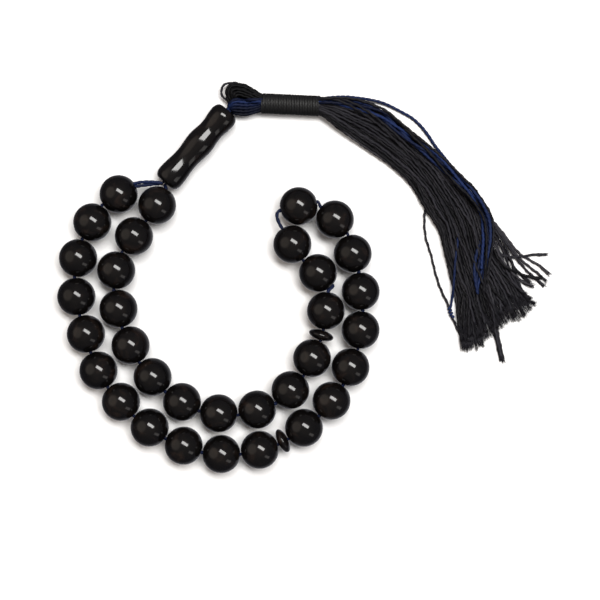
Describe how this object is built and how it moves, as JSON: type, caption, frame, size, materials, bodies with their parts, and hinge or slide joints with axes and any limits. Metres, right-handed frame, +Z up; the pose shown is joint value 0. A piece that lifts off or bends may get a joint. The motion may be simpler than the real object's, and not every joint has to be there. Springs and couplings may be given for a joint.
{
  "type": "misbaha prayer beads",
  "caption": "String of round glossy black prayer beads with divider discs, a long lobed leader bead and a yarn tassel, laid flat in a folded double row.",
  "frame": {"origin": "on the resting surface, under the middle of the laid-out outline", "axes": "+Z up from the resting surface; +X along the longest side of the laid-out string, from the beads to the tassel fringe"},
  "size_m": [0.1295, 0.1031, 0.01],
  "materials": {
    "bead_stone": "polished",
    "navy_cord": "twisted cord",
    "black_yarn": "twisted yarn",
    "binding_thread": "tightly wound thread"
  },
  "bodies": {
    "string": {"string_cord": "navy_cord", "tucked_end": "navy_cord"},
    "leader_line": {"leader_cord": "navy_cord"},
    "leader": {"leader_bead": "bead_stone"},
    "tassel": {"head_loop": "black_yarn", "cord_ends": "navy_cord", "eye_strand": "black_yarn", "neck_core": "black_yarn", "binding": "binding_thread"},
    "skirt": {"skirt": "black_yarn", "loose_cord": "navy_cord", "loose_strand": "black_yarn", "cord_knot": "navy_cord", "knot_tail": "navy_cord", "long_strand": "black_yarn", "side_strand": "black_yarn", "outer_strand": "black_yarn"},
    "bead_01": {"bead_01": "bead_stone"},
    "bead_02": {"bead_02": "bead_stone"},
    "bead_03": {"bead_03": "bead_stone"},
    "bead_04": {"bead_04": "bead_stone"},
    "bead_05": {"bead_05": "bead_stone"},
    "bead_06": {"bead_06": "bead_stone"},
    "bead_07": {"bead_07": "bead_stone"},
    "bead_08": {"bead_08": "bead_stone"},
    "bead_09": {"bead_09": "bead_stone"},
    "bead_10": {"bead_10": "bead_stone"},
    "bead_11": {"bead_11": "bead_stone"},
    "divider_disc_1": {"divider_disc_1": "bead_stone"},
    "bead_12": {"bead_12": "bead_stone"},
    "bead_13": {"bead_13": "bead_stone"},
    "bead_14": {"bead_14": "bead_stone"},
    "bead_15": {"bead_15": "bead_stone"},
    "bead_16": {"bead_16": "bead_stone"},
    "bead_17": {"bead_17": "bead_stone"},
    "bead_18": {"bead_18": "bead_stone"},
    "bead_19": {"bead_19": "bead_stone"},
    "bead_20": {"bead_20": "bead_stone"},
    "bead_21": {"bead_21": "bead_stone"},
    "bead_22": {"bead_22": "bead_stone"},
    "divider_disc_2": {"divider_disc_2": "bead_stone"},
    "bead_23": {"bead_23": "bead_stone"},
    "bead_24": {"bead_24": "bead_stone"},
    "bead_25": {"bead_25": "bead_stone"},
    "bead_26": {"bead_26": "bead_stone"},
    "bead_27": {"bead_27": "bead_stone"},
    "bead_28": {"bead_28": "bead_stone"},
    "bead_29": {"bead_29": "bead_stone"},
    "bead_30": {"bead_30": "bead_stone"},
    "bead_31": {"bead_31": "bead_stone"},
    "bead_32": {"bead_32": "bead_stone"},
    "bead_33": {"bead_33": "bead_stone"}
  },
  "joints": [
    {"name": "leader_swing", "type": "hinge", "parent": "string", "child": "leader_line", "pos_m": [-0.0368, 0.0242, 0.00365], "axis": [0, 0, 1], "range_deg": [-8, 26]},
    {"name": "tassel_swing", "type": "hinge", "parent": "leader_line", "child": "tassel", "pos_m": [-0.01954, 0.04391, 0.00265], "axis": [0, 0, 1], "range_deg": [-4, 35]},
    {"name": "skirt_sway", "type": "hinge", "parent": "tassel", "child": "skirt", "pos_m": [0.00449, 0.04489, 0.00265], "axis": [0, 0, 1], "range_deg": [-8, 14]},
    {"name": "leader_spin", "type": "hinge", "parent": "leader_line", "child": "leader", "pos_m": [-0.0368, 0.0242, 0.00365], "axis": [0.6587, 0.7524, 0], "continuous": true},
    {"name": "bead_01_spin", "type": "hinge", "parent": "string", "child": "bead_01", "pos_m": [-0.0485, 0.0215, 0.005], "axis": [-0.8793, -0.4762, 0], "continuous": true},
    {"name": "bead_02_spin", "type": "hinge", "parent": "string", "child": "bead_02", "pos_m": [-0.05542, 0.01412, 0.005], "axis": [-0.5357, -0.8444, 0], "continuous": true},
    {"name": "bead_03_spin", "type": "hinge", "parent": "string", "child": "bead_03", "pos_m": [-0.05915, 0.00471, 0.005], "axis": [-0.2099, -0.9777, 0], "continuous": true},
    {"name": "bead_04_spin", "type": "hinge", "parent": "string", "child": "bead_04", "pos_m": [-0.05961, -0.0054, 0.005], "axis": [0.103, -0.9947, 0], "continuous": true},
    {"name": "bead_05_spin", "type": "hinge", "parent": "string", "child": "bead_05", "pos_m": [-0.05709, -0.0152, 0.005], "axis": [0.2867, -0.958, 0], "continuous": true},
    {"name": "bead_06_spin", "type": "hinge", "parent": "string", "child": "bead_06", "pos_m": [-0.05381, -0.02477, 0.005], "axis": [0.4591, -0.8884, 0], "continuous": true},
    {"name": "bead_07_spin", "type": "hinge", "parent": "string", "child": "bead_07", "pos_m": [-0.0479, -0.03299, 0.005], "axis": [0.6684, -0.7438, 0], "continuous": true},
    {"name": "bead_08_spin", "type": "hinge", "parent": "string", "child": "bead_08", "pos_m": [-0.04036, -0.03974, 0.005], "axis": [0.819, -0.5738, 0], "continuous": true},
    {"name": "bead_09_spin", "type": "hinge", "parent": "string", "child": "bead_09", "pos_m": [-0.03144, -0.04452, 0.005], "axis": [0.9379, -0.3469, 0], "continuous": true},
    {"name": "bead_10_spin", "type": "hinge", "parent": "string", "child": "bead_10", "pos_m": [-0.02156, -0.0467, 0.005], "axis": [0.9985, -0.0544, 0], "continuous": true},
    {"name": "bead_11_spin", "type": "hinge", "parent": "string", "child": "bead_11", "pos_m": [-0.0115, -0.04561, 0.005], "axis": [0.9776, 0.2103, 0], "continuous": true},
    {"name": "divider_disc_1_spin", "type": "hinge", "parent": "string", "child": "divider_disc_1", "pos_m": [-0.00543, -0.04323, 0.005], "axis": [0.8947, 0.4466, 0], "continuous": true},
    {"name": "bead_12_spin", "type": "hinge", "parent": "string", "child": "bead_12", "pos_m": [0.00013, -0.03981, 0.005], "axis": [0.7718, 0.6359, 0], "continuous": true},
    {"name": "bead_13_spin", "type": "hinge", "parent": "string", "child": "bead_13", "pos_m": [0.00734, -0.03271, 0.005], "axis": [0.6089, 0.7932, 0], "continuous": true},
    {"name": "bead_14_spin", "type": "hinge", "parent": "string", "child": "bead_14", "pos_m": [0.01233, -0.02391, 0.005], "axis": [0.3806, 0.9247, 0], "continuous": true},
    {"name": "bead_15_spin", "type": "hinge", "parent": "string", "child": "bead_15", "pos_m": [0.01498, -0.01414, 0.005], "axis": [0.1331, 0.9911, 0], "continuous": true},
    {"name": "bead_16_spin", "type": "hinge", "parent": "string", "child": "bead_16", "pos_m": [0.015, -0.00402, 0.005], "axis": [-0.1029, 0.9947, 0], "continuous": true},
    {"name": "bead_17_spin", "type": "hinge", "parent": "string", "child": "bead_17", "pos_m": [0.01291, 0.00588, 0.005], "axis": [-0.3371, 0.9415, 0], "continuous": true},
    {"name": "bead_18_spin", "type": "hinge", "parent": "string", "child": "bead_18", "pos_m": [0.00824, 0.01486, 0.005], "axis": [-0.7507, 0.6607, 0], "continuous": true},
    {"name": "bead_19_spin", "type": "hinge", "parent": "string", "child": "bead_19", "pos_m": [-0.00126, 0.01835, 0.005], "axis": [-0.9736, -0.2284, 0], "continuous": true},
    {"name": "bead_20_spin", "type": "hinge", "parent": "string", "child": "bead_20", "pos_m": [-0.00292, 0.00837, 0.005], "axis": [0.5466, -0.8374, 0], "continuous": true},
    {"name": "bead_21_spin", "type": "hinge", "parent": "string", "child": "bead_21", "pos_m": [0.00382, 0.00081, 0.005], "axis": [0.7632, -0.6462, 0], "continuous": true},
    {"name": "bead_22_spin", "type": "hinge", "parent": "string", "child": "bead_22", "pos_m": [0.00588, -0.0091, 0.005], "axis": [-0.1051, -0.9945, 0], "continuous": true},
    {"name": "divider_disc_2_spin", "type": "hinge", "parent": "string", "child": "divider_disc_2", "pos_m": [0.00466, -0.0155, 0.005], "axis": [-0.2802, -0.9599, 0], "continuous": true},
    {"name": "bead_23_spin", "type": "hinge", "parent": "string", "child": "bead_23", "pos_m": [0.00225, -0.02156, 0.005], "axis": [-0.4891, -0.8722, 0], "continuous": true},
    {"name": "bead_24_spin", "type": "hinge", "parent": "string", "child": "bead_24", "pos_m": [-0.00343, -0.02993, 0.005], "axis": [-0.73, -0.6834, 0], "continuous": true},
    {"name": "bead_25_spin", "type": "hinge", "parent": "string", "child": "bead_25", "pos_m": [-0.01216, -0.03505, 0.005], "axis": [-0.9514, -0.308, 0], "continuous": true},
    {"name": "bead_26_spin", "type": "hinge", "parent": "string", "child": "bead_26", "pos_m": [-0.02224, -0.03602, 0.005], "axis": [-0.9949, 0.1008, 0], "continuous": true},
    {"name": "bead_27_spin", "type": "hinge", "parent": "string", "child": "bead_27", "pos_m": [-0.03191, -0.03305, 0.005], "axis": [-0.877, 0.4806, 0], "continuous": true},
    {"name": "bead_28_spin", "type": "hinge", "parent": "string", "child": "bead_28", "pos_m": [-0.03962, -0.0265, 0.005], "axis": [-0.6722, 0.7404, 0], "continuous": true},
    {"name": "bead_29_spin", "type": "hinge", "parent": "string", "child": "bead_29", "pos_m": [-0.0454, -0.01819, 0.005], "axis": [-0.4474, 0.8943, 0], "continuous": true},
    {"name": "bead_30_spin", "type": "hinge", "parent": "string", "child": "bead_30", "pos_m": [-0.04858, -0.00858, 0.005], "axis": [-0.1878, 0.9822, 0], "continuous": true},
    {"name": "bead_31_spin", "type": "hinge", "parent": "string", "child": "bead_31", "pos_m": [-0.04917, 0.00152, 0.005], "axis": [0.2093, 0.9779, 0], "continuous": true},
    {"name": "bead_32_spin", "type": "hinge", "parent": "string", "child": "bead_32", "pos_m": [-0.0445, 0.0105, 0.005], "axis": [0.532, 0.8468, 0], "continuous": true},
    {"name": "bead_33_spin", "type": "hinge", "parent": "string", "child": "bead_33", "pos_m": [-0.03844, 0.0186, 0.005], "axis": [0.49, 0.8717, 0], "continuous": true}
  ]
}
